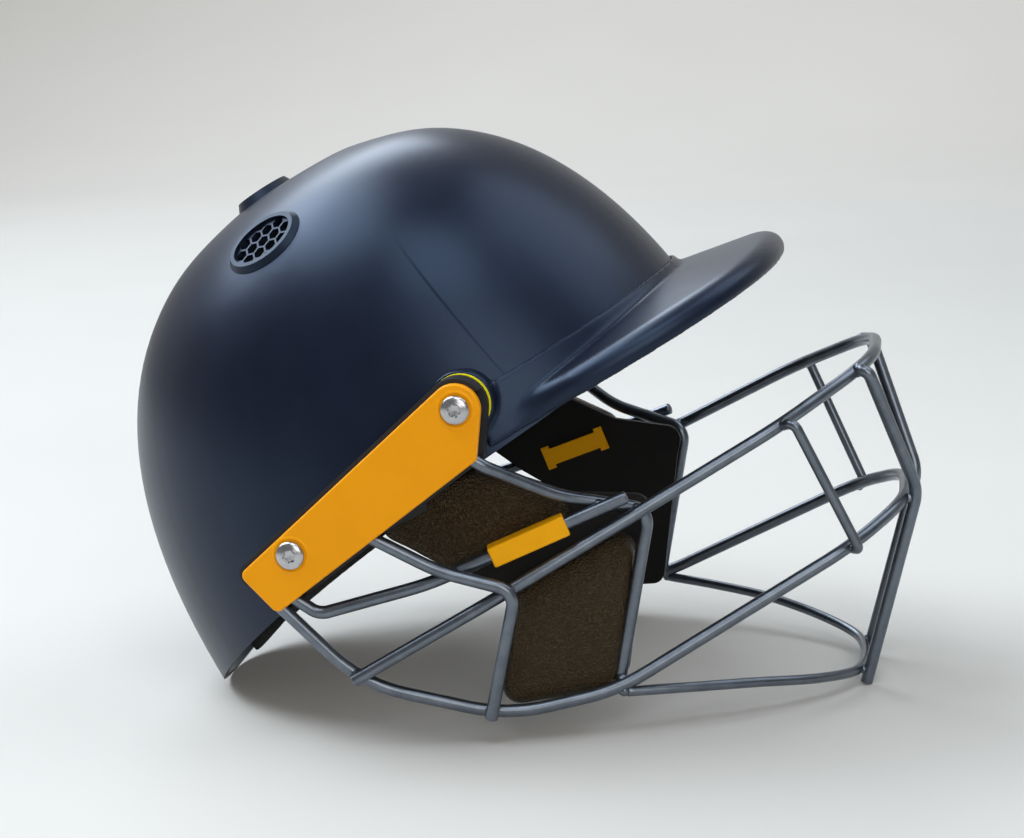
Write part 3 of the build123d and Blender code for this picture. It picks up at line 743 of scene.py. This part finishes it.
def paper():
    """Pale paper that glows a little to the camera and in reflections, more towards the back."""
    low, high, scale, detail = 0.2, 0.8, 3.0, 2.0
    darker, lighter = (0.555, 0.54, 0.51), (0.59, 0.575, 0.545)
    glow_start, glow_end, least_glow, most_glow = 0.8, 2.8, 0.05, 0.28
    material, tree, shader = new_material("floor_paper")
    tint = ramp(tree, object_noise(tree, scale, detail), low, high, darker, lighter)
    tree.links.new(tint, shader.inputs["Base Color"])
    shader.inputs["Roughness"].default_value = 0.8
    shader.inputs["Emission Color"].default_value = (1.0, 0.97, 0.92, 1)
    rays = add_node(tree, "ShaderNodeLightPath")
    seen = add_node(tree, "ShaderNodeMath", operation="MAXIMUM")
    tree.links.new(rays.outputs["Is Camera Ray"], seen.inputs[0])
    tree.links.new(rays.outputs["Is Glossy Ray"], seen.inputs[1])
    where = add_node(tree, "ShaderNodeTexCoord")
    parts = add_node(tree, "ShaderNodeSeparateXYZ")
    tree.links.new(where.outputs["Object"], parts.inputs["Vector"])
    deep = smooth_step(tree, parts.outputs["Y"], glow_start, glow_end, least_glow, most_glow)
    glow = add_node(tree, "ShaderNodeMath", operation="MULTIPLY")
    tree.links.new(seen.outputs["Value"], glow.inputs[0])
    tree.links.new(deep, glow.inputs[1])
    tree.links.new(glow.outputs["Value"], shader.inputs["Emission Strength"])
    return material


def make_floor():
    """Paper that runs along the floor and curves up behind."""
    near, far, wide, bend, top, steps = -30.0, 2.2, 40.0, 1.2, 6.0, 16
    outline = [(near, 0.0)]
    for step in range(steps + 1):
        turn = math.pi / 2 * step / steps
        outline.append((far + bend * math.sin(turn), bend * (1 - math.cos(turn))))
    outline.append((far + bend, top))
    form = bmesh.new()
    rows = [[form.verts.new((side * wide, deep, high)) for deep, high in outline] for side in (-1, 1)]
    for index in range(len(outline) - 1):
        form.faces.new((rows[0][index], rows[1][index], rows[1][index + 1], rows[0][index + 1]))
    mesh = bpy.data.meshes.new("floor")
    form.to_mesh(mesh)
    form.free()
    mesh.polygons.foreach_set("use_smooth", [True] * len(mesh.polygons))
    floor = bpy.data.objects.new("floor", mesh)
    bpy.context.scene.collection.objects.link(floor)
    mesh.materials.append(paper())


def add_lights():
    """Dim sky and soft lamps, the largest of them behind and to the left of the picture."""
    sky_tint, sky_strength = (0.97, 0.98, 1.0, 1), 0.20
    day, warm = (0.84, 0.92, 1.0), (1.0, 0.98, 0.95)
    aim = Vector((0.0, 0.0, 0.12))
    world = bpy.data.worlds.new("studio")
    world.use_nodes = True
    sky = world.node_tree.nodes["Background"]
    sky.inputs["Color"].default_value = sky_tint
    sky.inputs["Strength"].default_value = sky_strength
    bpy.context.scene.world = world
    for name, place, wide, deep, power, tint in (
        ("main", (-1.40, 1.00, 1.79), 3.1, 1.1, 64.0, day),
        ("crown", (-0.86, -0.10, 1.62), 1.3, 0.8, 15.0, day),
        ("top", (0.74, 0.20, 1.28), 1.0, 1.0, 6.0, day),
        ("front", (0.12, -0.72, 1.30), 0.6, 0.6, 4.0, day),
        ("fill", (0.70, -1.50, 0.85), 1.1, 1.1, 9.0, warm),
    ):
        light = bpy.data.lights.new(name, "AREA")
        light.shape = "RECTANGLE"
        light.size = wide
        light.size_y = deep
        light.energy = power
        light.color = tint
        lamp = bpy.data.objects.new(name, light)
        lamp.location = place
        lamp.rotation_euler = (Vector(place) - aim).to_track_quat("Z", "Y").to_euler()
        bpy.context.scene.collection.objects.link(lamp)


def add_camera():
    """Camera at the photograph's viewpoint, near the right side of the helmet."""
    focal_length, sensor_width = 84.375, 36.0
    place, turns = (0.16039, -0.96302, 0.29653), (79.0603, 2.9267, 9.1477)
    lens = bpy.data.cameras.new("camera")
    lens.lens = focal_length
    lens.sensor_width = sensor_width
    eye = bpy.data.objects.new("camera", lens)
    eye.location = place
    eye.rotation_euler = Euler([math.radians(turn) for turn in turns], "XYZ")
    bpy.context.scene.collection.objects.link(eye)
    bpy.context.scene.camera = eye


make_floor()
add_lights()
add_camera()
bpy.context.scene.view_settings.view_transform = "Standard"
